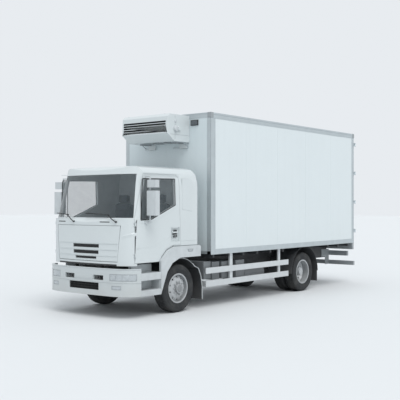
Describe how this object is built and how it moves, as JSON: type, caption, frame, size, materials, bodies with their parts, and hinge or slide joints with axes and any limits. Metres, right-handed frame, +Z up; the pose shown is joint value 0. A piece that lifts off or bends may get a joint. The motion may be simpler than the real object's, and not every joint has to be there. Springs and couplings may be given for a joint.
{
  "type": "refrigerated box truck",
  "caption": "Rigid cab-over truck with a tilting cab, insulated cargo box, rear doors, cooling unit, steered front wheels and twin rear wheels.",
  "frame": {"origin": "on the ground, midway between the front bumper and the rear underrun bar, on the centre plane", "axes": "+Z up, -Y towards the front, +X towards the truck's own left side"},
  "size_m": [2.86, 8.96, 4.09],
  "materials": {
    "frame_black": "satin",
    "engine_grey": "rough",
    "alu_parts": "satin",
    "box_grey": "satin",
    "cab_white": "gloss",
    "lamp_clear": "gloss",
    "lamp_red": "gloss",
    "step_white": "satin",
    "plastic_dark": "matte",
    "tyre_rubber": "matte",
    "rim_silver": "satin",
    "cab_glass": "gloss",
    "seat_cloth": "woven",
    "panel_white": "satin"
  },
  "bodies": {
    "chassis": {"chassis_frame": "frame_black", "floor_bearers": "frame_black", "leaf_springs": "frame_black", "front_axle": "frame_black", "rear_axle": "frame_black", "engine_block": "engine_grey", "gearbox_shaft": "engine_grey", "silencer": "alu_parts", "fuel_tank": "alu_parts", "chassis_boxes": "box_grey", "front_bumper": "cab_white", "headlamps": "lamp_clear", "cab_steps": "step_white", "front_mudguards": "step_white", "rear_mudguards": "plastic_dark", "side_guards": "step_white", "rear_bumper": "frame_black", "tail_lamps": "lamp_red", "box_floor": "alu_parts", "box_front_wall": "panel_white", "box_side_walls": "panel_white", "box_roof": "panel_white", "rear_frame": "alu_parts", "cooling_unit": "panel_white"},
    "left_steering_knuckle": {"left_knuckle": "frame_black"},
    "right_steering_knuckle": {"right_knuckle": "frame_black"},
    "front_left_wheel": {"front_left_tyre": "tyre_rubber", "front_left_rim": "rim_silver"},
    "front_right_wheel": {"front_right_tyre": "tyre_rubber", "front_right_rim": "rim_silver"},
    "rear_left_wheels": {"rear_left_tyres": "tyre_rubber", "rear_left_rims": "rim_silver"},
    "rear_right_wheels": {"rear_right_tyres": "tyre_rubber", "rear_right_rims": "rim_silver"},
    "cab": {"cab_floor": "plastic_dark", "cab_front": "cab_white", "cab_roof": "cab_white", "cab_rear": "cab_white", "cab_sides": "cab_white", "windscreen": "cab_glass", "wipers": "plastic_dark", "dashboard": "plastic_dark", "steering_wheel": "plastic_dark", "seats": "seat_cloth"},
    "hatch": {"front_hatch": "cab_white"},
    "left_cab_door": {"left_door": "cab_white", "left_glass": "cab_glass", "left_mirrors": "step_white"},
    "right_cab_door": {"right_door": "cab_white", "right_glass": "cab_glass", "right_mirrors": "step_white"},
    "left_box_door": {"rear_left_door": "panel_white"},
    "right_box_door": {"rear_right_door": "panel_white"}
  },
  "joints": [
    {"name": "steering_left", "type": "hinge", "parent": "chassis", "child": "left_steering_knuckle", "pos_m": [0.93, -2.96, 0.483], "axis": [0, 0, 1], "range_deg": [-38, 38]},
    {"name": "steering_right", "type": "hinge", "parent": "chassis", "child": "right_steering_knuckle", "pos_m": [-0.93, -2.96, 0.483], "axis": [0, 0, 1], "range_deg": [-38, 38]},
    {"name": "front_left_wheel_spin", "type": "hinge", "parent": "left_steering_knuckle", "child": "front_left_wheel", "pos_m": [0.9915, -2.96, 0.483], "axis": [1, 0, 0], "continuous": true},
    {"name": "front_right_wheel_spin", "type": "hinge", "parent": "right_steering_knuckle", "child": "front_right_wheel", "pos_m": [-0.9915, -2.96, 0.483], "axis": [1, 0, 0], "continuous": true},
    {"name": "rear_left_wheel_spin", "type": "hinge", "parent": "chassis", "child": "rear_left_wheels", "pos_m": [0.834, 1.84, 0.483], "axis": [1, 0, 0], "continuous": true},
    {"name": "rear_right_wheel_spin", "type": "hinge", "parent": "chassis", "child": "rear_right_wheels", "pos_m": [-0.834, 1.84, 0.483], "axis": [1, 0, 0], "continuous": true},
    {"name": "cab_tilt", "type": "hinge", "parent": "chassis", "child": "cab", "pos_m": [0, -4.33, 1.02], "axis": [1, 0, 0], "range_deg": [0, 45]},
    {"name": "hatch_lift", "type": "hinge", "parent": "cab", "child": "hatch", "pos_m": [0, -4.44, 1.765], "axis": [-1, 0, 0], "range_deg": [0, 80]},
    {"name": "left_door_swing", "type": "hinge", "parent": "cab", "child": "left_cab_door", "pos_m": [1.125, -4.203, 1.5], "axis": [0, 0, -1], "range_deg": [0, 75]},
    {"name": "right_door_swing", "type": "hinge", "parent": "cab", "child": "right_cab_door", "pos_m": [-1.125, -4.203, 1.5], "axis": [0, 0, 1], "range_deg": [0, 75]},
    {"name": "left_box_door_swing", "type": "hinge", "parent": "chassis", "child": "left_box_door", "pos_m": [1.245, 4.41, 2.6], "axis": [0, 0, -1], "range_deg": [0, 270]},
    {"name": "right_box_door_swing", "type": "hinge", "parent": "chassis", "child": "right_box_door", "pos_m": [-1.245, 4.41, 2.6], "axis": [0, 0, 1], "range_deg": [0, 270]}
  ],
  "couplings": [
    {"joint": "steering_right", "follows": "steering_left", "ratio": 1}
  ]
}
